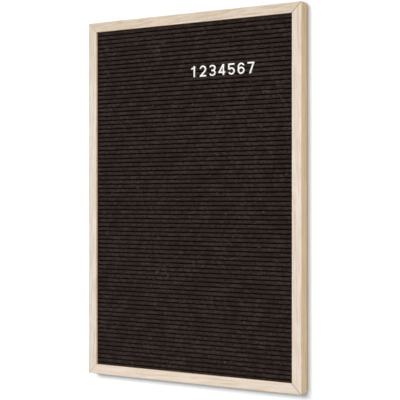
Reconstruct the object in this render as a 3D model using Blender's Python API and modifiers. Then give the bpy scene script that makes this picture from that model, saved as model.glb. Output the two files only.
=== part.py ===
"""Felt letter board for a wall.

A mitred wooden frame holds a slotted board. One sheet of felt lies on the board and is folded
into every slot. Seven plastic digits are pressed into the felt by two tabs each. A hardboard
back, flexible points, corner nails and a sawtooth hanger complete the rear.

Metres, +Z up. The origin is the middle of the frame's underside, and the board faces -Y.
"""
import math

import bmesh
import bpy
from mathutils import Matrix, Vector

# Overall size
BOARD_WIDTH = 0.400
BOARD_HEIGHT = 0.600

# Clearances
FIT_GAP = 0.0003            # between pieces that seat on each other
PANEL_CLEARANCE = 0.0018    # play of the panel in its rabbet, on each side

# Frame moulding
WALL_WIDTH = 0.011          # wood outside the rabbet
RABBET_WIDTH = 0.005
LIP_THICKNESS = 0.004
REAR_RECESS = 0.0024        # from the points to the frame's rear face
EDGE_RADIUS = 0.0008
EDGE_SEGMENTS = 3

# Felt and slotted board
FELT_THICKNESS = 0.0009
GROOVE_PITCH = 0.00724
GROOVE_DEPTH = 0.0055
SLIT_WIDTH = 0.0016
SLOT_WEB = 0.0035           # board left behind the slots
END_MARGIN = 0.008          # least height without a slot at the top and bottom
SHOULDER_STEPS = 2

# Back panel and flexible points
BACK_THICKNESS = 0.003
POINT_THICKNESS = 0.0005
POINT_WIDTH = 0.006
POINT_REACH = 0.009         # length of a point in front of the rabbet wall
POINT_COVER = 0.005         # wood left outside the tip of a point
POINTS_PER_STILE = 4
POINTS_PER_RAIL = 2

# Corner nails, bent to a V and driven across each mitre
CORNER_NAIL_THICKNESS = 0.0008
CORNER_NAIL_LEG = 0.0045
CORNER_NAIL_DEPTH = 0.008
CORNER_NAIL_INSET = 0.0045  # from the outer edges to the fold of the V

# Sawtooth hanger
HANGER_THICKNESS = 0.0008
HANGER_MARGIN = 0.001       # wood showing above and below the strip
HANGER_RAISED_LENGTH = 0.024
HANGER_RAISE = 0.0016
HANGER_JOG = 0.0015
HANGER_TAB_LENGTH = 0.009
TOOTH_PITCH = 0.003
TOOTH_DEPTH = 0.0022
TOOTH_FLAT = 0.0005          # blunt tip of a tooth
NAIL_RADIUS = 0.0006
NAIL_LENGTH = 0.010
NAIL_HEAD_RADIUS = 0.0018
NAIL_HEAD_HEIGHT = 0.0009
ROUND_STEPS = 16
SMOOTH_ANGLE = math.radians(50)

# Plastic digits
DIGIT_WIDTH = 0.0118
DIGIT_STROKE = 0.0023
DIGIT_THICKNESS = 0.0018
DIGIT_SPACE = 0.0056        # felt showing between two digits
DIGIT_GROOVE = 10           # groove behind the waist of the digits, counted from the top
ROW_MARGIN = 0.0658         # from the last digit to the right stile
TAB_WIDTH = 0.0024
TAB_MARGIN = 0.00014        # from a tab to the inner edge of the stroke that it stands on
TAB_CLEARANCE = 0.001       # from a tab's end to the felt at the bottom of its slot
ARC_STEP = math.radians(15)

# Sizes that follow from the ones above
FACE_WIDTH = WALL_WIDTH + RABBET_WIDTH
FELT_BACKING = FELT_THICKNESS + FIT_GAP
CORE_THICKNESS = GROOVE_DEPTH + SLOT_WEB
FELT_FRONT = LIP_THICKNESS + FIT_GAP            # depths behind the frame's front face
CORE_FRONT = FELT_FRONT + FELT_BACKING
CORE_REAR = CORE_FRONT + CORE_THICKNESS
BACK_FRONT = CORE_REAR + FIT_GAP
BACK_REAR = BACK_FRONT + BACK_THICKNESS
POINT_FRONT = BACK_REAR + FIT_GAP
FRAME_DEPTH = POINT_FRONT + POINT_THICKNESS + REAR_RECESS
FRONT_Y = -FRAME_DEPTH / 2
REAR_Y = FRAME_DEPTH / 2

PANEL_MARGIN = 2 * (WALL_WIDTH + PANEL_CLEARANCE)
PANEL_WIDTH = BOARD_WIDTH - PANEL_MARGIN
PANEL_HEIGHT = BOARD_HEIGHT - PANEL_MARGIN
PANEL_BOTTOM = WALL_WIDTH + FIT_GAP
PANEL_TOP = PANEL_BOTTOM + PANEL_HEIGHT
GROOVE_COUNT = int((PANEL_HEIGHT - 2 * END_MARGIN) / GROOVE_PITCH) + 1
TOP_GROOVE_Z = (PANEL_BOTTOM + PANEL_TOP + (GROOVE_COUNT - 1) * GROOVE_PITCH) / 2
SLOT_WIDTH = SLIT_WIDTH + 2 * FELT_BACKING

TAB_THICKNESS = SLIT_WIDTH - 2 * FIT_GAP
TAB_DEPTH = GROOVE_DEPTH - TAB_CLEARANCE
TAB_INSET = DIGIT_STROKE - TAB_THICKNESS / 2 - TAB_MARGIN   # from a digit's end to its tab's middle
DIGIT_HEIGHT = 2 * (GROOVE_PITCH + TAB_INSET)
DIGIT_SPACING = DIGIT_WIDTH + DIGIT_SPACE
LAST_DIGIT_X = BOARD_WIDTH / 2 - FACE_WIDTH - ROW_MARGIN - DIGIT_WIDTH / 2

WOOD = ("pale_wood", (0.78, 0.68, 0.55), 0.55, 0.0)
FELT = ("dark_felt", (0.024, 0.017, 0.014), 0.95, 0.0)
FIBREBOARD = ("fibreboard", (0.42, 0.29, 0.18), 0.8, 0.0)
HARDBOARD = ("hardboard", (0.20, 0.11, 0.06), 0.6, 0.0)
STEEL = ("zinc_steel", (0.62, 0.62, 0.60), 0.35, 1.0)
PLASTIC = ("white_plastic", (0.90, 0.90, 0.88), 0.35, 0.0)

FACING_FRONT = Matrix.Rotation(math.pi / 2, 4, "X")     # drawing plane XY becomes XZ
ALONG_X = Matrix.Rotation(math.pi / 2, 4, "Z") @ FACING_FRONT


def groove_z(index):
    """Height of a groove's middle, counted from the top."""
    return TOP_GROOVE_Z - index * GROOVE_PITCH


def clear_scene():
    for item in list(bpy.data.objects):
        bpy.data.objects.remove(item, do_unlink=True)


def new_collection(name):
    collection = bpy.data.collections.new(name)
    bpy.context.scene.collection.children.link(collection)
    return collection


def material(recipe):
    name, colour, roughness, metallic = recipe
    found = bpy.data.materials.get(name)
    if found:
        return found
    made = bpy.data.materials.new(name)
    made.use_nodes = True
    made.diffuse_color = (*colour, 1.0)
    shader = made.node_tree.nodes["Principled BSDF"]
    shader.inputs["Base Color"].default_value = (*colour, 1.0)
    shader.inputs["Roughness"].default_value = roughness
    shader.inputs["Metallic"].default_value = metallic
    return made


def add_part(name, mesh, recipe, matrix=Matrix.Identity(4)):
    """Puts a mesh in the board's collection under the name of its piece."""
    mesh.name = name
    mesh.shade_smooth()
    mesh.set_sharp_from_angle(angle=SMOOTH_ANGLE)
    mesh.materials.clear()
    mesh.materials.append(material(recipe))
    item = bpy.data.objects.new(name, mesh)
    item.matrix_world = matrix
    parts.objects.link(item)
    return item


def add_cutter(name, mesh, matrix=Matrix.Identity(4)):
    item = bpy.data.objects.new(name, mesh)
    item.matrix_world = matrix
    item.hide_render = True
    item.display_type = "WIRE"
    cutters.objects.link(item)
    return item


def combine(item, tool, operation):
    """Adds a Boolean that joins the tool to the item or cuts it away."""
    step = item.modifiers.new(operation.lower() + "_" + tool.name, "BOOLEAN")
    step.operation = operation
    step.object = tool
    step.solver = "EXACT"


def box_mesh(name, low, high):
    mesh = bpy.data.meshes.new(name)
    shape = bmesh.new()
    size = Vector(high) - Vector(low)
    middle = (Vector(high) + Vector(low)) / 2
    place = Matrix.Translation(middle) @ Matrix.Diagonal((*size, 1.0))
    bmesh.ops.create_cube(shape, size=1.0, matrix=place)
    shape.to_mesh(mesh)
    shape.free()
    return mesh


def plate_mesh(name, outline, thickness):
    """A filled outline in the XY plane, as a solid of the given thickness about it."""
    curve = bpy.data.curves.new(name, "CURVE")
    curve.dimensions = "2D"
    curve.fill_mode = "BOTH"
    curve.extrude = thickness / 2
    spline = curve.splines.new("POLY")
    spline.points.add(len(outline) - 1)
    for point, (x, y) in zip(spline.points, outline):
        point.co = (x, y, 0.0, 1.0)
    spline.use_cyclic_u = True
    holder = bpy.data.objects.new(name, curve)
    bpy.context.scene.collection.objects.link(holder)
    bpy.context.view_layer.update()
    evaluated = holder.evaluated_get(bpy.context.evaluated_depsgraph_get())
    mesh = bpy.data.meshes.new_from_object(evaluated)
    bpy.data.objects.remove(holder)
    shape = bmesh.new()
    shape.from_mesh(mesh)
    bmesh.ops.remove_doubles(shape, verts=shape.verts, dist=0.000001)
    bmesh.ops.recalc_face_normals(shape, faces=shape.faces)
    shape.to_mesh(mesh)
    shape.free()
    return mesh


def round_corner(corner, before, after, radius, steps):
    """Points of the arc that eases a square corner between two neighbours."""
    corner = Vector(corner)
    to_before = (Vector(before) - corner).normalized() * radius
    to_after = (Vector(after) - corner).normalized() * radius
    centre = corner + to_before + to_after
    angles = [math.pi / 2 * step / steps for step in range(steps + 1)]
    return [tuple(centre - to_after * math.cos(turn) - to_before * math.sin(turn)) for turn in angles]


def moulding_outline():
    """Section of the frame: distance in from the outer edge, and depth behind the front face."""
    radius = min(EDGE_RADIUS, LIP_THICKNESS / 2, WALL_WIDTH / 2)
    outer_front = (0.0, 0.0)
    inner_front = (FACE_WIDTH, 0.0)
    lip_rear = (FACE_WIDTH, LIP_THICKNESS)
    rabbet_corner = (WALL_WIDTH, LIP_THICKNESS)
    inner_rear = (WALL_WIDTH, FRAME_DEPTH)
    outer_rear = (0.0, FRAME_DEPTH)
    outline = round_corner(outer_front, outer_rear, inner_front, radius, EDGE_SEGMENTS)
    outline += round_corner(inner_front, outer_front, lip_rear, radius, EDGE_SEGMENTS)
    outline += [lip_rear, rabbet_corner, inner_rear]
    outline += round_corner(outer_rear, inner_rear, outer_front, radius, EDGE_SEGMENTS)
    return outline


def make_member(name, length, middle, turn):
    """One side of the frame, with its ends cut to the mitre plane less half the joint gap."""
    mesh = plate_mesh(name, moulding_outline(), length)
    joint = FIT_GAP / math.sqrt(2)
    for vertex in mesh.vertices:
        cut_length = length / 2 - vertex.co.x - joint
        vertex.co.z = math.copysign(cut_length, vertex.co.z)
    place = Matrix.Translation((middle[0], FRONT_Y, middle[1]))
    return add_part(name, mesh, WOOD, place @ Matrix.Rotation(turn, 4, "Y"))


def make_frame():
    half_width = BOARD_WIDTH / 2
    half_height = BOARD_HEIGHT / 2
    return {
        "left_stile": make_member("left_stile", BOARD_HEIGHT, (-half_width, half_height), 0.0),
        "right_stile": make_member("right_stile", BOARD_HEIGHT, (half_width, half_height), math.pi),
        "bottom_rail": make_member("bottom_rail", BOARD_WIDTH, (0.0, 0.0), -math.pi / 2),
        "top_rail": make_member("top_rail", BOARD_WIDTH, (0.0, BOARD_HEIGHT), math.pi / 2),
    }


def felt_profile():
    """Front of the felt from top to bottom, as depth and height: over each ridge, into each slot."""
    radius = FELT_BACKING
    half_slit = SLIT_WIDTH / 2
    floor = FELT_FRONT + GROOVE_DEPTH
    turns = [math.pi / 2 * step / SHOULDER_STEPS for step in range(SHOULDER_STEPS + 1)]
    points = [(FELT_FRONT, PANEL_TOP)]
    for index in range(GROOVE_COUNT):
        middle = groove_z(index)
        for side, order in ((1, turns), (-1, turns[::-1])):
            centre = middle + side * (half_slit + radius)
            shoulder = [
                (FELT_FRONT + radius * (1 - math.cos(turn)), centre - side * radius * math.sin(turn))
                for turn in order
            ]
            corner = (floor, middle + side * half_slit)
            points += shoulder + [corner] if side > 0 else [corner] + shoulder
    points.append((FELT_FRONT, PANEL_BOTTOM))
    return points


def swept_mesh(name, line, reach):
    """An open surface: a line of points moved along a vector, facing the board's front."""
    mesh = bpy.data.meshes.new(name)
    shape = bmesh.new()
    start = [shape.verts.new(point) for point in line]
    edges = [shape.edges.new(pair) for pair in zip(start, start[1:])]
    swept = bmesh.ops.extrude_edge_only(shape, edges=edges)
    moved = [item for item in swept["geom"] if isinstance(item, bmesh.types.BMVert)]
    bmesh.ops.translate(shape, verts=moved, vec=reach)
    shape.normal_update()
    flattest = max(shape.faces, key=lambda face: abs(face.normal.y))
    if flattest.normal.y > 0:
        bmesh.ops.reverse_faces(shape, faces=shape.faces)
    shape.to_mesh(mesh)
    shape.free()
    return mesh


def thicken(item, thickness, offset):
    sheet = item.modifiers.new("thickness", "SOLIDIFY")
    sheet.thickness = thickness
    sheet.offset = offset
    sheet.use_even_offset = True


def make_felt():
    """One sheet of felt, drawn as its front surface and thickened backwards."""
    line = [(-PANEL_WIDTH / 2, FRONT_Y + depth, height) for depth, height in felt_profile()]
    felt = add_part("felt_face", swept_mesh("felt_face", line, (PANEL_WIDTH, 0.0, 0.0)), FELT)
    thicken(felt, FELT_THICKNESS, -1.0)


def make_core():
    """The slotted board behind the felt, a comb outline drawn out to the panel's width."""
    outline = [(CORE_REAR, PANEL_BOTTOM), (CORE_REAR, PANEL_TOP), (CORE_FRONT, PANEL_TOP)]
    floor = CORE_FRONT + GROOVE_DEPTH
    for index in range(GROOVE_COUNT):
        upper = groove_z(index) + SLOT_WIDTH / 2
        lower = groove_z(index) - SLOT_WIDTH / 2
        outline += [(CORE_FRONT, upper), (floor, upper), (floor, lower), (CORE_FRONT, lower)]
    outline.append((CORE_FRONT, PANEL_BOTTOM))
    mesh = plate_mesh("slotted_core", outline, PANEL_WIDTH)
    add_part("slotted_core", mesh, FIBREBOARD, Matrix.Translation((0.0, FRONT_Y, 0.0)) @ ALONG_X)


def make_back_panel():
    low = (-PANEL_WIDTH / 2, FRONT_Y + BACK_FRONT, PANEL_BOTTOM)
    high = (PANEL_WIDTH / 2, FRONT_Y + BACK_REAR, PANEL_TOP)
    add_part("back_panel", box_mesh("back_panel", low, high), HARDBOARD)


def point_outline(gap):
    """A point seen from behind: its tip is at -X in the wood, its tail lies over the back panel."""
    half = POINT_WIDTH / 2 + gap
    tip = POINT_COVER - WALL_WIDTH - gap
    shoulder = tip / 2
    if gap:
        return [(tip, -half), (-tip, -half), (-tip, half), (tip, half)]
    return [(tip, 0.0), (shoulder, -half), (POINT_REACH, -half), (POINT_REACH, half), (shoulder, half)]


def make_points(frame):
    """Flexible steel points pushed into the rabbet walls behind the back panel."""
    middle_y = FRONT_Y + POINT_FRONT + POINT_THICKNESS / 2
    side_x = BOARD_WIDTH / 2 - WALL_WIDTH
    rows = []
    for index in range(POINTS_PER_STILE):
        height = BOARD_HEIGHT * (index + 0.5) / POINTS_PER_STILE
        rows.append(("left_stile", (-side_x, middle_y, height), 0.0))
        rows.append(("right_stile", (side_x, middle_y, height), math.pi))
    for index in range(POINTS_PER_RAIL):
        across = BOARD_WIDTH * ((index + 0.5) / POINTS_PER_RAIL - 0.5)
        rows.append(("bottom_rail", (across, middle_y, WALL_WIDTH), -math.pi / 2))
        rows.append(("top_rail", (across, middle_y, BOARD_HEIGHT - WALL_WIDTH), math.pi / 2))
    for number, (member, place, turn) in enumerate(rows, 1):
        matrix = Matrix.Translation(place) @ Matrix.Rotation(turn, 4, "Y") @ FACING_FRONT
        name = f"panel_point_{number:02d}"
        add_part(name, plate_mesh(name, point_outline(0.0), POINT_THICKNESS), STEEL, matrix)
        pocket_mesh = plate_mesh("pocket_" + name, point_outline(FIT_GAP), POINT_THICKNESS + 2 * FIT_GAP)
        combine(frame[member], add_cutter("pocket_" + name, pocket_mesh, matrix), "DIFFERENCE")


def corner_nail_outline(gap):
    """A square V in the plane of the frame, its fold at the origin and its legs along +X and +Y."""
    half = CORNER_NAIL_THICKNESS / 2 + gap
    end = CORNER_NAIL_LEG + gap
    return [(-half, -half), (end, -half), (end, half), (half, half), (half, end), (-half, end)]


def make_corner_nails(frame):
    """One V nail across each mitre, driven in flush from the rear."""
    inset_x = BOARD_WIDTH / 2 - CORNER_NAIL_INSET
    low_z = CORNER_NAIL_INSET
    high_z = BOARD_HEIGHT - CORNER_NAIL_INSET
    corners = [
        ("lower_left", (-inset_x, low_z), 0, ("bottom_rail", "left_stile")),
        ("lower_right", (inset_x, low_z), 1, ("bottom_rail", "right_stile")),
        ("upper_right", (inset_x, high_z), 2, ("top_rail", "right_stile")),
        ("upper_left", (-inset_x, high_z), 3, ("top_rail", "left_stile")),
    ]
    for corner, (x, z), quarter, members in corners:
        turn = Matrix.Rotation(quarter * math.pi / 2, 4, "Z")
        name = "corner_nail_" + corner
        middle = Matrix.Translation((x, REAR_Y - CORNER_NAIL_DEPTH / 2, z))
        mesh = plate_mesh(name, corner_nail_outline(0.0), CORNER_NAIL_DEPTH)
        add_part(name, mesh, STEEL, middle @ FACING_FRONT @ turn)
        pocket_name = "pocket_" + name
        pocket_depth = CORNER_NAIL_DEPTH + 2 * FIT_GAP
        pocket = plate_mesh(pocket_name, corner_nail_outline(FIT_GAP), pocket_depth)
        cutter = add_cutter(pocket_name, pocket, middle @ FACING_FRONT @ turn)
        for member in members:
            combine(frame[member], cutter, "DIFFERENCE")


def hanger_path():
    """Line of the hanger strip from end to end, as distance along X and behind the rail."""
    foot = HANGER_THICKNESS / 2 + FIT_GAP
    bend = HANGER_RAISED_LENGTH / 2
    tab = bend + HANGER_JOG
    side = [(bend, foot + HANGER_RAISE), (tab, foot), (tab + HANGER_TAB_LENGTH, foot)]
    return [(-x, y) for x, y in reversed(side)] + side


def hanger_nail_x():
    return HANGER_RAISED_LENGTH / 2 + HANGER_JOG + HANGER_TAB_LENGTH / 2


def make_hanger():
    """Joggled steel strip with teeth along the lower edge of its raised middle."""
    height = WALL_WIDTH - 2 * HANGER_MARGIN
    bottom = BOARD_HEIGHT - WALL_WIDTH + HANGER_MARGIN
    line = [(x, REAR_Y + y, bottom) for x, y in hanger_path()]
    hanger = add_part("sawtooth_hanger", swept_mesh("sawtooth_hanger", line, (0.0, 0.0, height)), STEEL)
    thicken(hanger, HANGER_THICKNESS, 0.0)

    depth = 2 * (HANGER_RAISE + HANGER_THICKNESS)
    count = int((HANGER_RAISED_LENGTH - TOOTH_PITCH) / TOOTH_PITCH)
    half = (TOOTH_PITCH - TOOTH_FLAT) / 2
    notch = [(-half, -TOOTH_DEPTH), (half, -TOOTH_DEPTH), (half, 0.0), (0.0, TOOTH_DEPTH), (-half, 0.0)]
    for index in range(count):
        across = (index - (count - 1) / 2) * TOOTH_PITCH
        place = Matrix.Translation((across, REAR_Y + HANGER_RAISE, bottom)) @ FACING_FRONT
        cutter = add_cutter(f"notch_{index}", plate_mesh(f"notch_{index}", notch, depth), place)
        combine(hanger, cutter, "DIFFERENCE")
    return hanger


def nail_profile():
    """Half outline of a domed nail, from the top of its head down to its point."""
    radius = (NAIL_HEAD_RADIUS ** 2 + NAIL_HEAD_HEIGHT ** 2) / (2 * NAIL_HEAD_HEIGHT)
    spread = math.asin(NAIL_HEAD_RADIUS / radius)
    steps = 4
    dome = []
    for step in range(steps + 1):
        angle = spread * step / steps
        dome.append((radius * math.sin(angle), NAIL_HEAD_HEIGHT - radius * (1 - math.cos(angle))))
    return dome + [(NAIL_RADIUS, 0.0), (NAIL_RADIUS, 2 * NAIL_RADIUS - NAIL_LENGTH), (0.0, -NAIL_LENGTH)]


def turned_mesh(name, profile):
    mesh = bpy.data.meshes.new(name)
    points = [(x, 0.0, z) for x, z in profile]
    mesh.from_pydata(points, [(index, index + 1) for index in range(len(points) - 1)], [])
    return mesh


def make_nails(frame, hanger):
    """Two nails through the hanger's tabs into the top rail."""
    height = BOARD_HEIGHT - WALL_WIDTH / 2
    seat = REAR_Y + HANGER_THICKNESS + 2 * FIT_GAP
    hole_radius = NAIL_RADIUS + FIT_GAP
    for name, across in (("hanger_nail_left", -hanger_nail_x()), ("hanger_nail_right", hanger_nail_x())):
        place = Matrix.Translation((across, seat, height)) @ Matrix.Rotation(-math.pi / 2, 4, "X")
        nail = add_part(name, turned_mesh(name, nail_profile()), STEEL, place)
        turning = nail.modifiers.new("turning", "SCREW")
        turning.steps = ROUND_STEPS
        turning.render_steps = ROUND_STEPS
        turning.use_merge_vertices = True
        turning.merge_threshold = 0.00001
        turning.use_smooth_shade = True
        low = NAIL_LENGTH + FIT_GAP
        bore = bpy.data.meshes.new("bore_" + name)
        shape = bmesh.new()
        bmesh.ops.create_cone(
            shape, cap_ends=True, segments=ROUND_STEPS,
            radius1=hole_radius, radius2=hole_radius, depth=2 * low,
        )
        shape.to_mesh(bore)
        shape.free()
        cutter = add_cutter("bore_" + name, bore, place)
        combine(frame["top_rail"], cutter, "DIFFERENCE")
        combine(hanger, cutter, "DIFFERENCE")


def bar(start, end):
    """Outline of a straight stroke with square ends."""
    start = Vector(start)
    end = Vector(end)
    along = (end - start).normalized()
    side = Vector((-along.y, along.x)) * DIGIT_STROKE / 2
    return [tuple(start + side), tuple(start - side), tuple(end - side), tuple(end + side)]


def slash(low, high):
    """Outline of a slanted stroke with level ends."""
    low = Vector(low)
    high = Vector(high)
    half = Vector((DIGIT_STROKE / 2 * (high - low).length / (high.y - low.y), 0.0))
    return [tuple(low - half), tuple(low + half), tuple(high + half), tuple(high - half)]


def bow(centre, radii, first, last):
    """Outline of a curved stroke between two angles in degrees, on an ellipse."""
    first = math.radians(first)
    last = math.radians(last)
    steps = max(2, round(abs(last - first) / ARC_STEP))
    turns = [first + (last - first) * step / steps for step in range(steps + 1)]
    rims = []
    for offset, order in ((DIGIT_STROKE / 2, turns), (-DIGIT_STROKE / 2, turns[::-1])):
        for turn in order:
            x = centre[0] + (radii[0] + offset) * math.cos(turn)
            y = centre[1] + (radii[1] + offset) * math.sin(turn)
            rims.append((x, y))
    return rims


def on_bow(centre, radii, degrees):
    turn = math.radians(degrees)
    return (centre[0] + radii[0] * math.cos(turn), centre[1] + radii[1] * math.sin(turn))


def digit_strokes():
    """Strokes of the digits 1 to 7 from their lower left corner, and where each one's tabs stand."""
    wide = DIGIT_WIDTH
    tall = DIGIT_HEIGHT
    left = low = DIGIT_STROKE / 2
    right = wide - left
    high = tall - low
    middle = wide / 2
    waist = tall / 2
    shoulder = high - DIGIT_STROKE / 2
    stem = 0.6 * wide           # upright of the 1
    flag = (0.14 * wide, 0.74 * tall)
    post = 0.74 * wide          # upright of the 4
    shelf = 0.27 * tall
    foot = 0.34 * wide          # of the 7
    cheek = 0.34 * wide         # start of the 3's waist
    neck = 0.47 * tall          # foot of the 5's upright
    belly = 0.32 * tall         # middle of the round part of the 5 and the 6
    half_bowl = ((wide - DIGIT_STROKE) / 2, (tall - DIGIT_STROKE) / 4)
    round_top = (half_bowl[0], half_bowl[0])
    round_belly = (half_bowl[0], belly - low)
    crown = (middle, high - round_top[1])
    strokes = {
        1: [bar((stem, 0.0), (stem, tall)), bar(flag, (stem, shoulder))],
        2: [
            bow(crown, round_top, 170, -35),
            bar(on_bow(crown, round_top, -35), (1.5 * left, low)),
            bar((0.0, low), (wide, low)),
        ],
        3: [
            bow((middle, high - half_bowl[1]), half_bowl, 160, -90),
            bow((middle, low + half_bowl[1]), half_bowl, 90, -160),
            bar((cheek, waist), (middle, waist)),
        ],
        4: [
            bar((post, 0.0), (post, tall)),
            bar((0.0, shelf), (wide, shelf)),
            slash((left, shelf), (post, tall)),
        ],
        5: [
            bar((0.0, high), (wide - left / 2, high)),
            bar((left, neck), (left, high)),
            bow((middle, belly), round_belly, 150, -155),
        ],
        6: [
            bow((middle, belly), round_belly, 0, 180),
            bow((middle, belly), round_belly, 180, 360),
            bar((left, belly), (left, crown[1])),
            bow(crown, round_top, 180, 20),
        ],
        7: [bar((0.0, high), (wide, high)), slash((foot, 0.0), (right, high))],
    }
    tabs = {number: (middle, middle) for number in strokes}
    tabs[1] = (stem, stem)
    tabs[4] = (post, post)
    tabs[7] = (middle, foot + (right - foot) * TAB_INSET / high)
    return strokes, tabs


def make_digits():
    """Flat plastic digits on the felt, each with a tab in the groove above and below its waist."""
    strokes, tabs = digit_strokes()
    bottom = groove_z(DIGIT_GROOVE) - DIGIT_HEIGHT / 2
    rear = FELT_FRONT - FIT_GAP
    middle_y = FRONT_Y + rear - DIGIT_THICKNESS / 2
    tab_end = -(DIGIT_THICKNESS / 2 + FIT_GAP + TAB_DEPTH)
    for number, outlines in strokes.items():
        name = f"digit_{number}"
        left = LAST_DIGIT_X - (len(strokes) - number) * DIGIT_SPACING - DIGIT_WIDTH / 2
        place = Matrix.Translation((left, middle_y, bottom)) @ FACING_FRONT
        digit = add_part(name, plate_mesh(name, outlines[0], DIGIT_THICKNESS), PLASTIC, place)
        for index, outline in enumerate(outlines[1:], 2):
            stroke = plate_mesh(f"{name}_stroke_{index}", outline, DIGIT_THICKNESS)
            combine(digit, add_cutter(stroke.name, stroke, place), "UNION")
        heights = (DIGIT_HEIGHT - TAB_INSET, TAB_INSET)
        for side, across, height in zip(("upper", "lower"), tabs[number], heights):
            low = (across - TAB_WIDTH / 2, height - TAB_THICKNESS / 2, tab_end)
            high = (across + TAB_WIDTH / 2, height + TAB_THICKNESS / 2, 0.0)
            tab = box_mesh(f"{name}_tab_{side}", low, high)
            combine(digit, add_cutter(tab.name, tab, place), "UNION")


clear_scene()
parts = new_collection("felt_letter_board")
cutters = new_collection("cutters")
frame_members = make_frame()
make_felt()
make_core()
make_back_panel()
make_points(frame_members)
make_corner_nails(frame_members)
hanger_strip = make_hanger()
make_nails(frame_members, hanger_strip)
make_digits()
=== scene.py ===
"""Looks of the felt letter board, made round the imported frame.

Metres, +Z up, the board faces -Y. The frame, the rear and the hardware keep their CAD meshes and
get materials here. The felt and the digits are modelled again, finer, in the same places.
"""

import math
import random

import bmesh
import bpy
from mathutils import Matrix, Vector, noise


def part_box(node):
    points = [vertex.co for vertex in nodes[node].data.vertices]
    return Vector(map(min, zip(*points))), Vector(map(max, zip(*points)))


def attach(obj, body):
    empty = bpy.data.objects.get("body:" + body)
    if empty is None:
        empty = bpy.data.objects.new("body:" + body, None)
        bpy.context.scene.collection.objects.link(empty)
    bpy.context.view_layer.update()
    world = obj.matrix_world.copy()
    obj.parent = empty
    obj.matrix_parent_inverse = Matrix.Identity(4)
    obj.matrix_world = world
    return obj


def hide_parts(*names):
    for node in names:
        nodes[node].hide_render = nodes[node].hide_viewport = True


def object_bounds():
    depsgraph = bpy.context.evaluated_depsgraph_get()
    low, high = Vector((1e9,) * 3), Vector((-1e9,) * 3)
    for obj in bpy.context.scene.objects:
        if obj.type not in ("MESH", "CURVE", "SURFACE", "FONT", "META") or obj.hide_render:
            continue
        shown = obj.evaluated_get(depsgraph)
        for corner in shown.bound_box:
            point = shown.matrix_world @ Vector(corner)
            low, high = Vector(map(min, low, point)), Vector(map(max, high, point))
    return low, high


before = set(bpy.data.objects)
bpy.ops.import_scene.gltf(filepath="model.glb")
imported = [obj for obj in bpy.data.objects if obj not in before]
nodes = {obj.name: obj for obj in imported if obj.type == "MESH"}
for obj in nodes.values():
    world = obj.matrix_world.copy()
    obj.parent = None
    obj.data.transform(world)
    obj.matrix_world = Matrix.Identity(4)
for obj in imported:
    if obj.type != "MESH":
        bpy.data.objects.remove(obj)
cad_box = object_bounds()

# The photograph's view
CAMERA_PLACE = (0.8522, -1.4362, 0.2971)
CAMERA_TURN = math.radians(30.23)
CAMERA_LENS = 92.2

# Light
AMBIENT = 0.35              # share of the light on the front that comes from all round
KEY_SHARE = 0.685           # share of the key, before what its width takes off
KEY_DIRECTION = Vector((-0.10, -1.0, 0.39))
KEY_SIZE = (5.2, 2.1)       # wide, so that the shadow fades slowly beside the board
SIDE_SHARE = 0.33           # light of the side lamp on the right side, beside the light all round
SIDE_DIRECTION = Vector((1.0, -0.08, 0.10))
REAR_SHARE = 0.45           # light of the rear lamp on the back, beside the light all round
REAR_DIRECTION = Vector((-0.35, 1.0, 0.35))
LAMP_SIZE = (2.4, 2.4)
LAMP_DISTANCE = 8.0

# Stage
WALL_GAP = 0.0003           # from the hanger to the wall
WALL_TINT = (0.945, 0.978, 1.0)
WALL_GLOW = (0.115, 0.122, 0.135)       # brings the lit wall to plain white
CONTACT_REACH = 0.0095      # how far from the board the wall darkens beside its shadow
STAGE_REACH = 3.0
FLOOR_DROP = 1.2
FLOOR_GAP = 0.02            # from the wall, above CONTACT_REACH, so that neither darkens

# Frame
FACE_WIDTH = 0.016
EDGE_HIGHLIGHT_BAND = 0.0013          # painted highlight, paler along the inner edge
TOP_EDGE_HIGHLIGHT_BAND = 0.0024      # the same painted highlight on the top rail, where more shows
UPPER_REACH = 0.15          # the wood is darker and yellower this far down from the top
SEAM_BAND = 0.0008          # darkened by glue on each side of a mitre

# Each bar: whether it lies along X, its place in the noise, the slant of its grain, the strength
# of its streaks, the tone of its front, and the width of the highlight painted along its inner
# edge
BARS = {
    "top_rail": (True, (0.31, 0.07, 0.13), 0.06, 0.62, (0.772, 0.675, 0.582), TOP_EDGE_HIGHLIGHT_BAND),
    "bottom_rail": (True, (0.83, 0.29, 0.41), 0.02, 0.36, (0.846, 0.737, 0.628), EDGE_HIGHLIGHT_BAND),
    "left_stile": (False, (0.17, 0.61, 0.53), -0.03, 0.45, (0.822, 0.742, 0.655), EDGE_HIGHLIGHT_BAND),
    "right_stile": (False, (0.59, 0.43, 0.97), 0.02, 0.36, (0.832, 0.734, 0.634), EDGE_HIGHLIGHT_BAND),
}
PALE_PATCH = (1.03, 1.02, 1.03)         # factors on the tone of the front
DARK_PATCH = (0.98, 0.98, 0.95)
# Tones of the side faces: yellower and a little darker than the front, partly painted shade
PALE_SHADED_SIDE = (0.865, 0.645, 0.425)
DARK_SHADED_SIDE = (0.825, 0.620, 0.395)
# Painted highlight: the paler colour of the band along the inner front edge
PAINTED_EDGE_HIGHLIGHT = (0.93, 0.84, 0.72)
UPPER_TINT = (0.920, 0.905, 0.860)      # tints multiply the wood below them
STREAK_TINT = (0.74, 0.65, 0.54)
GROWTH_TINT = (0.80, 0.72, 0.62)
WOOD_FIBRE = (0.640, 0.495, 0.360)
WOOD_PORE = (0.400, 0.280, 0.180)
GLUE_LINE = (0.230, 0.165, 0.115)

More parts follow.
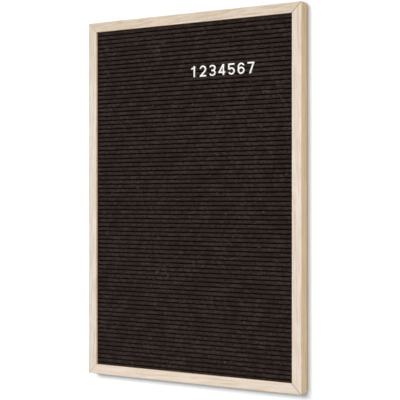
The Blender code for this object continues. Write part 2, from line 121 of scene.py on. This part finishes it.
# Felt, as the grooved board behind it has it
GROOVE_PITCH = 0.00724
SLIT_WIDTH = 0.0016
END_MARGIN = 0.008
FELT_THICKNESS = 0.0009
SHOULDER_RADIUS = 0.0012
SHOULDER_STEPS = 3
RIDGE_CROWN = 0.0001
FELT_COLUMNS = 48
FELT_SHARP = math.radians(60)           # an edge that turns by more stays sharp
EDGE_WANDER = 0.00018       # how far the edges of the slits leave their straight line
EDGE_NOISE = (60.0, 5.3, 2.1)           # steps in the noise per metre, per slit and per side
CROWN_WANDER = 0.00006
CROWN_NOISE = (35.0, 0.7, 9.0)          # steps per metre and per row, and a place of its own

# Colours of the felt, and the shade painted at the lips and in the folds of its slits
DULL_FELT = (0.0305, 0.0210, 0.0178)
RUBBED_FELT = (0.0495, 0.0355, 0.0308)
MATTED_FELT = (0.0150, 0.0098, 0.0082)
FELT_FIBRE = (0.0760, 0.0555, 0.0485)
FELT_FLECK = (0.1500, 0.1150, 0.1000)
SLIT_LIP_SHADE = (0.0225, 0.0118, 0.0090)
SLIT_FOLD_SHADE = (0.0160, 0.0076, 0.0054)
SLIT_SHADE_RAGGED = 0.0160         # how far the noise moves the rim of the painted shade at a lip
SLIT_SHADE_RIM = (0.0078, 0.0098)  # distance from a slit, with the noise added, over which the painted lip shade ends
FOLD_SHADE_DEPTH = (0.0012, 0.0035)           # depth over which the painted shade in a fold deepens

# Lint on the felt
LINT_SEED = 11
LINT_COUNT = 3200
LINT_RADIUS = (0.00003, 0.00009)
LINT_LENGTH = (0.0012, 0.0045)
LINT_LEAN = 0.9             # spread of the fibres' angles from the level
LINT_CURL = 1.2             # most turn along one fibre
LINT_STEPS = 5
LINT_SIDES = 3
DUST_SPOTS = (              # x and z of the places where more of it lies
    (-0.165, 0.562), (-0.118, 0.574), (-0.070, 0.550),
    (0.130, 0.575), (0.155, 0.470), (-0.060, 0.180),
)
DUST_SHARE = 0.22           # of the fibres, gathered at the dusty spots
DUST_SPREAD = (0.013, 0.009)

# Digits
DIGIT_EDGE = 0.00025        # rounding of the front edges
DIGIT_EDGE_STEPS = 3
DIGIT_SHARP = math.radians(35)          # an edge that turns by more stays sharp
FLAT_WITHIN = math.radians(1)           # faces that turn by less become one
MERGE_DISTANCE = 0.000002
FRONT_TOLERANCE = 0.00001


class Tree:
    """The nodes of a material or a world, with short calls to add more."""

    def __init__(self, owner):
        owner.use_nodes = True
        self.nodes = owner.node_tree.nodes
        self.links = owner.node_tree.links

    def node(self, kind, **settings):
        made = self.nodes.new("ShaderNode" + kind)
        for name, value in settings.items():
            setattr(made, name, value)
        return made

    def feed(self, socket, value):
        """Links a socket to another, or sets its value."""
        if isinstance(value, bpy.types.NodeSocket):
            self.links.new(value, socket)
        else:
            socket.default_value = value

    def math(self, operation, first, second=0.0):
        made = self.node("Math", operation=operation)
        self.feed(made.inputs[0], first)
        self.feed(made.inputs[1], second)
        return made.outputs["Value"]


class Graph(Tree):
    """A surface under construction, with the nodes that the materials below share."""

    def __init__(self, name, roughness=0.5, specular=0.5, metallic=0.0):
        self.material = bpy.data.materials.new(name)
        super().__init__(self.material)
        self.shader = self.nodes["Principled BSDF"]
        self.shader.inputs["Roughness"].default_value = roughness
        self.shader.inputs["Specular IOR Level"].default_value = specular
        self.shader.inputs["Metallic"].default_value = metallic

    def place(self, kind="Object"):
        """X, Y and Z of the place on the object in metres, or of its normal."""
        made = self.node("SeparateXYZ")
        self.feed(made.inputs["Vector"], self.node("TexCoord").outputs[kind])
        return made.outputs

    def coordinates(self, scale, turn=(0.0, 0.0, 0.0), offset=(0.0, 0.0, 0.0)):
        """Places on the object, turned, then scaled to noise steps per metre along X, Y, Z."""
        turned = self.node("Mapping")
        self.feed(turned.inputs["Vector"], self.node("TexCoord").outputs["Object"])
        turned.inputs["Rotation"].default_value = turn
        turned.inputs["Location"].default_value = offset
        scaled = self.node("Mapping")
        self.feed(scaled.inputs["Vector"], turned.outputs["Vector"])
        scaled.inputs["Scale"].default_value = scale
        return scaled.outputs["Vector"]

    def noise(self, vector, detail=2.0, roughness=0.5, distortion=0.0):
        made = self.node("TexNoise")
        self.feed(made.inputs["Vector"], vector)
        made.inputs["Scale"].default_value = 1.0
        made.inputs["Detail"].default_value = detail
        made.inputs["Roughness"].default_value = roughness
        made.inputs["Distortion"].default_value = distortion
        return made.outputs["Fac"]

    def span(self, value, low, high, start=0.0, end=1.0):
        """A value between low and high becomes one between start and end, with soft ends."""
        made = self.node("MapRange", interpolation_type="SMOOTHSTEP")
        self.feed(made.inputs["Value"], value)
        made.inputs["From Min"].default_value = low
        made.inputs["From Max"].default_value = high
        made.inputs["To Min"].default_value = start
        made.inputs["To Max"].default_value = end
        return made.outputs["Result"]

    def mix(self, share, first, second, blend="MIX"):
        made = self.node("Mix", data_type="RGBA", blend_type=blend)
        self.feed(made.inputs["Factor"], share)
        self.feed(made.inputs["A"], rgba(first))
        self.feed(made.inputs["B"], rgba(second))
        return made.outputs["Result"]

    def colour(self, value):
        self.feed(self.shader.inputs["Base Color"], value)

    def bump(self, height, depth, strength):
        made = self.node("Bump")
        self.feed(made.inputs["Height"], height)
        made.inputs["Distance"].default_value = depth
        made.inputs["Strength"].default_value = strength
        self.feed(self.shader.inputs["Normal"], made.outputs["Normal"])


def rgba(value):
    if isinstance(value, bpy.types.NodeSocket):
        return value
    return (*value, 1.0)


def shaded(colour, factors):
    return tuple(channel * factor for channel, factor in zip(colour, factors))


def wood_material(name, along_x, offset, slant, figured, tone, highlight_band):
    """Pale wood, its grain along one bar of the frame."""
    graph = Graph(name, roughness=0.60, specular=0.30)
    turn = (0.0, math.pi / 2 + slant, 0.0) if along_x else (0.0, slant, 0.0)

    def stretched(across, along):
        """Places in noise steps per metre, across the grain and along it."""
        return graph.coordinates((across, across, along), turn, offset)

    drift = graph.noise(stretched(60.0, 22.0), detail=3.0, roughness=0.6)
    figure = graph.noise(stretched(320.0, 24.0), detail=4.0, roughness=0.65, distortion=0.6)
    rings = graph.noise(stretched(520.0, 7.0), detail=3.0, roughness=0.6, distortion=0.25)
    fibre = graph.noise(stretched(2600.0, 45.0), detail=3.0, roughness=0.6)
    pores = graph.noise(stretched(1700.0, 95.0), detail=1.0)

    patch = graph.span(drift, 0.38, 0.62)
    front = graph.mix(patch, shaded(tone, PALE_PATCH), shaded(tone, DARK_PATCH))
    # The side faces get tones of their own, partly painted shade
    side = graph.mix(patch, PALE_SHADED_SIDE, DARK_SHADED_SIDE)
    facing = graph.math("MULTIPLY", graph.place("Normal")["Y"], -1.0)
    colour = graph.mix(graph.span(facing, 0.30, 0.95), side, front)
    top = cad_box[1].z
    upper = graph.span(graph.place()["Z"], top - UPPER_REACH, top)
    colour = graph.mix(upper, colour, UPPER_TINT, blend="MULTIPLY")
    # Painted highlight along the inner front edge of each bar
    colour = graph.mix(edge_highlight_share(graph, along_x, facing, highlight_band), colour, PAINTED_EDGE_HIGHLIGHT)

    streaks = graph.span(figure, 0.44, 0.62, 0.0, figured)
    colour = graph.mix(streaks, colour, STREAK_TINT, blend="MULTIPLY")
    growth = graph.span(rings, 0.46, 0.66, 0.0, 0.50)
    colour = graph.mix(growth, colour, GROWTH_TINT, blend="MULTIPLY")
    colour = graph.mix(graph.span(fibre, 0.35, 0.75, 0.0, 0.24), colour, WOOD_FIBRE)
    colour = graph.mix(graph.span(pores, 0.64, 0.74, 0.0, 0.40), colour, WOOD_PORE)
    colour = graph.mix(seam_share(graph, rings), colour, GLUE_LINE)
    graph.colour(colour)
    height = graph.math("ADD", fibre, graph.math("MULTIPLY", rings, 0.7))
    graph.bump(height, depth=0.00006, strength=0.6)
    return graph.material


def edge_highlight_share(graph, along_x, facing, highlight_band):
    """How much painted highlight shows: a paler band on the inner front edge of the frame."""
    low, high = cad_box
    place = graph.place()
    if along_x:
        half = (high.z - low.z) / 2
        from_middle = graph.math("ABSOLUTE", graph.math("SUBTRACT", place["Z"], low.z + half))
    else:
        half = (high.x - low.x) / 2
        from_middle = graph.math("ABSOLUTE", place["X"])
    inner = half - FACE_WIDTH
    share = graph.span(from_middle, inner + highlight_band / 2, inner + highlight_band, 0.55, 0.0)
    return graph.math("MULTIPLY", share, graph.span(facing, 0.0, 0.3))


def seam_share(graph, wander):
    """How much of the dark glue line shows: on the mitres, and least at the left corners."""
    low, high = cad_box
    middle = (low + high) / 2
    place = graph.place()
    from_side = graph.math("SUBTRACT", high.x, graph.math("ABSOLUTE", place["X"]))
    height = graph.math("ABSOLUTE", graph.math("SUBTRACT", place["Z"], middle.z))
    from_end = graph.math("SUBTRACT", high.z - middle.z, height)
    distance = graph.math("ABSOLUTE", graph.math("SUBTRACT", from_side, from_end))
    line = graph.span(distance, SEAM_BAND / 2, SEAM_BAND, 1.0, 0.0)
    opened = graph.span(place["X"], low.x, high.x, 0.15, 0.95)
    broken = graph.math("MULTIPLY", opened, graph.span(wander, 0.30, 0.60, 0.6, 1.0))
    return graph.math("MULTIPLY", line, broken)


def felt_material():
    """Matt dark brown felt with matted fibres, rubbed patches, a light nap and painted shade at
    its slits.
    """
    graph = Graph("brown_felt", roughness=1.0, specular=0.04)
    rubbed = graph.noise(graph.coordinates((45.0, 45.0, 45.0)), detail=4.0, roughness=0.6)
    clumps = graph.noise(graph.coordinates((230.0, 230.0, 300.0)), detail=4.0, roughness=0.75)
    fibre = graph.noise(graph.coordinates((900.0, 1500.0, 2600.0)), detail=3.0, distortion=1.5)
    fleck = graph.noise(graph.coordinates((330.0, 330.0, 900.0)), detail=2.0, distortion=2.0)
    ragged = graph.noise(graph.coordinates((130.0, 130.0, 700.0)), detail=4.0, roughness=0.7)
    colour = graph.mix(graph.span(rubbed, 0.38, 0.62), DULL_FELT, RUBBED_FELT)
    colour = graph.mix(graph.span(clumps, 0.43, 0.57, 0.0, 0.9), colour, MATTED_FELT)
    colour = graph.mix(graph.span(fibre, 0.50, 0.75, 0.0, 0.6), colour, FELT_FIBRE)
    colour = graph.mix(graph.span(fleck, 0.63, 0.76, 0.0, 0.6), colour, FELT_FLECK)

    place = graph.place()
    from_top = graph.math("SUBTRACT", place["Z"], groove_heights()[0])
    from_slit = graph.math("PINGPONG", from_top, GROOVE_PITCH / 2)
    # Painted shade: the felt turns darker near each slit, along a ragged rim
    lip_shade = graph.math("ADD", from_slit, graph.math("MULTIPLY", ragged, SLIT_SHADE_RAGGED))
    colour = graph.mix(graph.span(lip_shade, *SLIT_SHADE_RIM, 0.8, 0.0), colour, SLIT_LIP_SHADE)
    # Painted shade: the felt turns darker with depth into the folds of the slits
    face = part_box("felt_face")[0].y
    fold_shade = graph.span(place["Y"], face + FOLD_SHADE_DEPTH[0], face + FOLD_SHADE_DEPTH[1], 0.0, 0.5)
    graph.colour(graph.mix(fold_shade, colour, SLIT_FOLD_SHADE))
    graph.bump(graph.math("ADD", fibre, clumps), depth=0.00025, strength=0.8)
    return graph.material


def lint_material():
    """Loose fibres, some pale and some grey."""
    graph = Graph("pale_lint", roughness=0.9, specular=0.1)
    tone = graph.noise(graph.coordinates((130.0, 130.0, 130.0)), detail=1.0)
    grey, pale = (0.060, 0.045, 0.038), (0.420, 0.370, 0.330)
    graph.colour(graph.mix(graph.span(tone, 0.46, 0.64), grey, pale))
    return graph.material


def plastic_material():
    """White moulded plastic with a faint orange peel and dulled spots."""
    graph = Graph("white_plastic", specular=0.5)
    peel = graph.noise(graph.coordinates((900.0, 900.0, 900.0)), detail=2.0)
    worn = graph.noise(graph.coordinates((260.0, 260.0, 260.0)), detail=2.0)
    fresh, dulled = (0.955, 0.925, 0.895), (0.930, 0.900, 0.865)
    graph.colour(graph.mix(graph.span(worn, 0.3, 0.7), fresh, dulled))
    graph.feed(graph.shader.inputs["Roughness"], graph.span(worn, 0.3, 0.7, 0.28, 0.42))
    graph.bump(peel, depth=0.00002, strength=0.4)
    return graph.material


def steel_material():
    """Zinc-plated steel: dull, faintly streaked and mottled."""
    graph = Graph("zinc_steel", metallic=1.0)
    streak = graph.noise(graph.coordinates((220.0, 900.0, 2400.0)), detail=3.0)
    bloom = graph.noise(graph.coordinates((300.0, 300.0, 300.0)), detail=2.0)
    bright, clouded = (0.640, 0.640, 0.630), (0.520, 0.525, 0.530)
    streaked = (0.400, 0.395, 0.380)
    colour = graph.mix(graph.span(bloom, 0.35, 0.65), bright, clouded)
    graph.colour(graph.mix(graph.span(streak, 0.50, 0.80, 0.0, 0.3), colour, streaked))
    graph.feed(graph.shader.inputs["Roughness"], graph.span(streak, 0.3, 0.7, 0.28, 0.48))
    graph.bump(streak, depth=0.00002, strength=0.4)
    return graph.material


def board_material(name, pale, dark, fleck_colour, roughness):
    """Pressed wood fibre: a mottled ground with paler fibres in it."""
    graph = Graph(name, roughness=roughness, specular=0.3)
    cloud = graph.noise(graph.coordinates((16.0, 16.0, 16.0)), detail=3.0)
    mottle = graph.noise(graph.coordinates((210.0, 210.0, 210.0)), detail=4.0, roughness=0.65)
    fibre = graph.noise(graph.coordinates((700.0, 700.0, 1500.0)), detail=2.0, distortion=2.5)
    colour = graph.mix(graph.span(cloud, 0.3, 0.7, 0.2, 0.8), dark, pale)
    colour = graph.mix(graph.span(mottle, 0.35, 0.70, 0.0, 0.6), colour, dark)
    colour = graph.mix(graph.span(fibre, 0.60, 0.75, 0.0, 0.6), colour, fleck_colour)
    graph.colour(colour)
    graph.bump(graph.math("ADD", mottle, fibre), depth=0.0001, strength=0.5)
    return graph.material


def dress(names, material):
    """Gives CAD nodes a material in place of their plain one."""
    for name in names:
        for slot in nodes[name].material_slots:
            slot.material = material


def dress_frame():
    for name, looks in BARS.items():
        dress([name], wood_material("wood_of_" + name, *looks))


def dress_rear():
    hardboard = board_material(
        "hardboard", pale=(0.235, 0.135, 0.075), dark=(0.150, 0.080, 0.042),
        fleck_colour=(0.340, 0.220, 0.130), roughness=0.5,
    )
    fibreboard = board_material(
        "fibreboard", pale=(0.450, 0.320, 0.205), dark=(0.360, 0.245, 0.150),
        fleck_colour=(0.560, 0.430, 0.300), roughness=0.85,
    )
    dress(["back_panel"], hardboard)
    dress(["slotted_core"], fibreboard)
    steel_nodes = ("panel_point", "corner_nail", "hanger_nail", "sawtooth_hanger")
    dress([name for name in nodes if name.startswith(steel_nodes)], steel_material())


def add_object(mesh, material):
    """Shows a mesh, as an object of the same name."""
    mesh.materials.append(material)
    made = bpy.data.objects.new(mesh.name, mesh)
    bpy.context.scene.collection.objects.link(made)
    return made


def groove_heights():
    """Heights of the middles of the slits, from the top."""
    low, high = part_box("felt_face")
    count = int((high.z - low.z - 2 * END_MARGIN) / GROOVE_PITCH) + 1
    top = (low.z + high.z + (count - 1) * GROOVE_PITCH) / 2
    return [top - index * GROOVE_PITCH for index in range(count)]


def felt_rows():
    """Points down the felt's front, from the top: y, z, and the slit and its side, if any."""
    low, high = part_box("felt_face")
    face = low.y
    floor = high.y - FELT_THICKNESS
    half_slit = SLIT_WIDTH / 2
    heights = groove_heights()
    turns = [math.pi / 2 * step / SHOULDER_STEPS for step in range(SHOULDER_STEPS + 1)]
    rows = [(face, high.z, None), (face - RIDGE_CROWN, (high.z + heights[0]) / 2, None)]
    for index, middle in enumerate(heights):
        for side, order in ((1, turns), (-1, turns[::-1])):
            edge = (index, side)
            centre = middle + side * (half_slit + SHOULDER_RADIUS)
            shoulder = []
            for turn in order:
                depth = SHOULDER_RADIUS * (1 - math.cos(turn))
                rise = -side * SHOULDER_RADIUS * math.sin(turn)
                shoulder.append((face + depth, centre + rise, edge))
            corner = (floor, middle + side * half_slit, edge)
            rows += shoulder + [corner] if side > 0 else [corner] + shoulder
        below = heights[index + 1] if index + 1 < len(heights) else low.z
        rows.append((face - RIDGE_CROWN, (middle + below) / 2, None))
    rows.append((face, low.z, None))
    return rows


def make_felt(material):
    """One sheet folded into every slit, a little uneven along each edge."""
    low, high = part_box("felt_face")
    rows = felt_rows()
    width = high.x - low.x
    across = [low.x + width * column / FELT_COLUMNS for column in range(FELT_COLUMNS + 1)]
    points = []
    for number, (y, z, edge) in enumerate(rows):
        for x in across:
            if edge:
                along, per_slit, per_side = EDGE_NOISE
                place = Vector((x * along, edge[0] * per_slit, edge[1] * per_side))
                points.append((x, y, z + noise.noise(place) * EDGE_WANDER))
            else:
                along, per_row, start = CROWN_NOISE
                place = Vector((x * along, number * per_row, start))
                points.append((x, y + noise.noise(place) * CROWN_WANDER, z))
    wide = len(across)
    faces = []
    for row in range(len(rows) - 1):
        for column in range(FELT_COLUMNS):
            corner = row * wide + column
            faces.append((corner, corner + wide, corner + wide + 1, corner + 1))
    mesh = bpy.data.meshes.new("felt_sheet")
    mesh.from_pydata(points, [], faces)
    mesh.shade_smooth()
    mesh.set_sharp_from_angle(angle=FELT_SHARP)
    felt = add_object(mesh, material)
    thick = felt.modifiers.new("thickness", "SOLIDIFY")
    thick.thickness = FELT_THICKNESS
    thick.offset = -1.0
    thick.use_even_offset = True

    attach(felt, "root")
    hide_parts("felt_face")


def fibre_mesh(points, faces, line, radius):
    """Adds one closed tube, pointed at both ends, to the lists of points and faces."""
    first = len(points)
    last_ring = LINT_STEPS - 2
    points.append(line[0])
    for step in range(1, LINT_STEPS):
        for corner in range(LINT_SIDES):
            turn = 2 * math.pi * corner / LINT_SIDES
            points.append(line[step] + Vector((0.0, math.cos(turn), math.sin(turn))) * radius)
    points.append(line[-1])
    tip = len(points) - 1
    for corner in range(LINT_SIDES):
        after = (corner + 1) % LINT_SIDES
        faces.append((first, first + 1 + after, first + 1 + corner))
        for ring in range(last_ring):
            here = first + 1 + ring * LINT_SIDES
            there = here + LINT_SIDES
            faces.append((here + corner, here + after, there + after, there + corner))
        end = first + 1 + last_ring * LINT_SIDES
        faces.append((end + corner, end + after, tip))


def make_lint(material):
    """Loose fibres lying on the ridges of the felt, clear of the digits."""
    draw = random.Random(LINT_SEED)
    low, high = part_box("felt_face")
    heights = groove_heights()
    row_low, row_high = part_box("digit_1")[0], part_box("digit_7")[1]
    margin = LINT_LENGTH[1]
    reach = (high.x - low.x) / 2 - FACE_WIDTH / 2
    points = []
    faces = []
    while len(faces) < LINT_COUNT * LINT_SIDES * LINT_STEPS:
        x = draw.uniform(-reach, reach)
        z = draw.choice(heights[:-1]) - GROOVE_PITCH * draw.random()
        if draw.random() < DUST_SHARE:
            spot = draw.choice(DUST_SPOTS)
            x = spot[0] + draw.gauss(0.0, DUST_SPREAD[0])
            z = spot[1] + draw.gauss(0.0, DUST_SPREAD[1])
        length = draw.uniform(*LINT_LENGTH)
        lean = draw.gauss(0.0, LINT_LEAN)
        curl = draw.uniform(-LINT_CURL, LINT_CURL)
        radius = draw.uniform(*LINT_RADIUS)
        if abs(x) > reach or not heights[-1] < z < heights[0]:
            continue
        in_row = row_low.z - margin < z < row_high.z + margin
        if in_row and row_low.x - margin < x < row_high.x + margin:
            continue
        y = low.y - RIDGE_CROWN - CROWN_WANDER - radius
        stride = length / LINT_STEPS
        line = [Vector((x, y, z))]
        for step in range(LINT_STEPS):
            angle = lean + curl * step / LINT_STEPS
            line.append(line[-1] + Vector((math.cos(angle), 0.0, math.sin(angle))) * stride)
        fibre_mesh(points, faces, line, radius)
    mesh = bpy.data.meshes.new("felt_lint")
    mesh.from_pydata(points, [], faces)
    lint = add_object(mesh, material)
    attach(lint, "root")


def make_digit(name, material):
    """The node's own shape with its front edges rounded, as a moulded digit has them."""
    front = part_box(name)[0].y
    shape = bmesh.new()
    shape.from_mesh(nodes[name].data)
    bmesh.ops.remove_doubles(shape, verts=shape.verts, dist=MERGE_DISTANCE)
    bmesh.ops.dissolve_limit(
        shape, angle_limit=FLAT_WITHIN, verts=shape.verts, edges=shape.edges
    )
    rim = []
    for edge in shape.edges:
        on_front = all(abs(vertex.co.y - front) < FRONT_TOLERANCE for vertex in edge.verts)
        if on_front and len(edge.link_faces) == 2:
            rim.append(edge)
    bmesh.ops.bevel(
        shape, geom=rim, offset=DIGIT_EDGE, offset_type="OFFSET", segments=DIGIT_EDGE_STEPS,
        profile=0.5, affect="EDGES", clamp_overlap=True,
    )
    mesh = bpy.data.meshes.new("moulded_" + name)
    shape.to_mesh(mesh)
    shape.free()
    mesh.shade_smooth()
    mesh.set_sharp_from_angle(angle=DIGIT_SHARP)
    digit = add_object(mesh, material)
    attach(digit, "root")
    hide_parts(name)


def make_digits():
    material = plastic_material()
    for name in sorted(name for name in nodes if name.startswith("digit_")):
        make_digit(name, material)


def seen_directly(tree):
    """1 for rays that show a thing, to the camera, in a gloss or through glass, else 0."""
    path = tree.node("LightPath").outputs
    shown = tree.math("MAXIMUM", path["Is Camera Ray"], path["Is Glossy Ray"])
    return tree.math("MAXIMUM", shown, path["Is Transmission Ray"])


def stage_material():
    """Matt white that takes the shadow, shows on its front only and lets all light through."""
    made = bpy.data.materials.new("stage_white")
    tree = Tree(made)
    tree.nodes.clear()
    front = tree.math("SUBTRACT", 1.0, tree.node("NewGeometry").outputs["Backfacing"])
    share = tree.math("MULTIPLY", seen_directly(tree), front)
    contact = tree.node("AmbientOcclusion")
    contact.inputs["Distance"].default_value = CONTACT_REACH
    contact.inputs["Color"].default_value = rgba(WALL_TINT)
    matt = tree.node("BsdfDiffuse")
    tree.feed(matt.inputs["Color"], contact.outputs["Color"])
    glow = tree.node("Emission")
    glow.inputs["Color"].default_value = rgba(WALL_GLOW)
    tree.feed(glow.inputs["Strength"], contact.outputs["AO"])
    both = tree.node("AddShader")
    tree.feed(both.inputs[0], matt.outputs["BSDF"])
    tree.feed(both.inputs[1], glow.outputs["Emission"])
    blend = tree.node("MixShader")
    tree.feed(blend.inputs[0], share)
    tree.feed(blend.inputs[1], tree.node("BsdfTransparent").outputs["BSDF"])
    tree.feed(blend.inputs[2], both.outputs["Shader"])
    tree.feed(tree.node("OutputMaterial").inputs["Surface"], blend.outputs["Shader"])
    return made


def make_stage():
    """A wall just behind the hanger, and in front of it a floor well below the board."""
    wall_y = cad_box[1].y + WALL_GAP
    floor_z = cad_box[0].z - FLOOR_DROP
    floor_rear = wall_y - FLOOR_GAP
    white = stage_material()
    outlines = {
        "wall": [
            (-STAGE_REACH, wall_y, floor_z), (STAGE_REACH, wall_y, floor_z),
            (STAGE_REACH, wall_y, STAGE_REACH), (-STAGE_REACH, wall_y, STAGE_REACH),
        ],
        "floor": [
            (-STAGE_REACH, -STAGE_REACH, floor_z), (STAGE_REACH, -STAGE_REACH, floor_z),
            (STAGE_REACH, floor_rear, floor_z), (-STAGE_REACH, floor_rear, floor_z),
        ],
    }
    for name, corners in outlines.items():
        mesh = bpy.data.meshes.new(name)
        mesh.from_pydata(corners, [], [(0, 1, 2, 3)])
        plane = add_object(mesh, white)


def make_world():
    """White to look at, and a weaker light from all round."""
    world = bpy.data.worlds.new("studio")
    bpy.context.scene.world = world
    tree = Tree(world)
    level = tree.node("MapRange")
    level.inputs["To Min"].default_value = AMBIENT
    level.inputs["To Max"].default_value = 1.0
    tree.feed(level.inputs["Value"], seen_directly(tree))
    background = tree.nodes["Background"]
    background.inputs["Color"].default_value = (1.0, 1.0, 1.0, 1.0)
    tree.feed(background.inputs["Strength"], level.outputs["Result"])


def add_lamp(name, direction, share, facing, size=LAMP_SIZE):
    """An area lamp that gives faces turned to facing that share of a plain white level."""
    middle = (cad_box[0] + cad_box[1]) / 2
    direction = direction.normalized()
    data = bpy.data.lights.new(name, "AREA")
    data.shape = "RECTANGLE"
    data.size, data.size_y = size
    data.energy = share * (math.pi * LAMP_DISTANCE) ** 2 / direction.dot(facing)
    lamp = bpy.data.objects.new(name, data)
    lamp.location = middle + direction * LAMP_DISTANCE
    lamp.rotation_mode = "QUATERNION"
    lamp.rotation_quaternion = direction.to_track_quat("Z", "Y")
    bpy.context.scene.collection.objects.link(lamp)


def make_lights():
    front = Vector((0.0, -1.0, 0.0))
    right = Vector((1.0, 0.0, 0.0))
    add_lamp("key", KEY_DIRECTION, KEY_SHARE, front, KEY_SIZE)
    add_lamp("side", SIDE_DIRECTION, SIDE_SHARE, right)
    add_lamp("rear", REAR_DIRECTION, REAR_SHARE, -front)


def make_camera():
    data = bpy.data.cameras.new("camera")
    data.lens = CAMERA_LENS
    camera = bpy.data.objects.new("camera", data)
    camera.location = CAMERA_PLACE
    camera.rotation_euler = (math.pi / 2, 0.0, CAMERA_TURN)
    bpy.context.scene.collection.objects.link(camera)
    bpy.context.scene.camera = camera


bpy.context.scene.view_settings.view_transform = "Standard"
make_camera()
dress_frame()
dress_rear()
make_felt(felt_material())
make_lint(lint_material())
make_digits()
make_stage()
make_world()
make_lights()
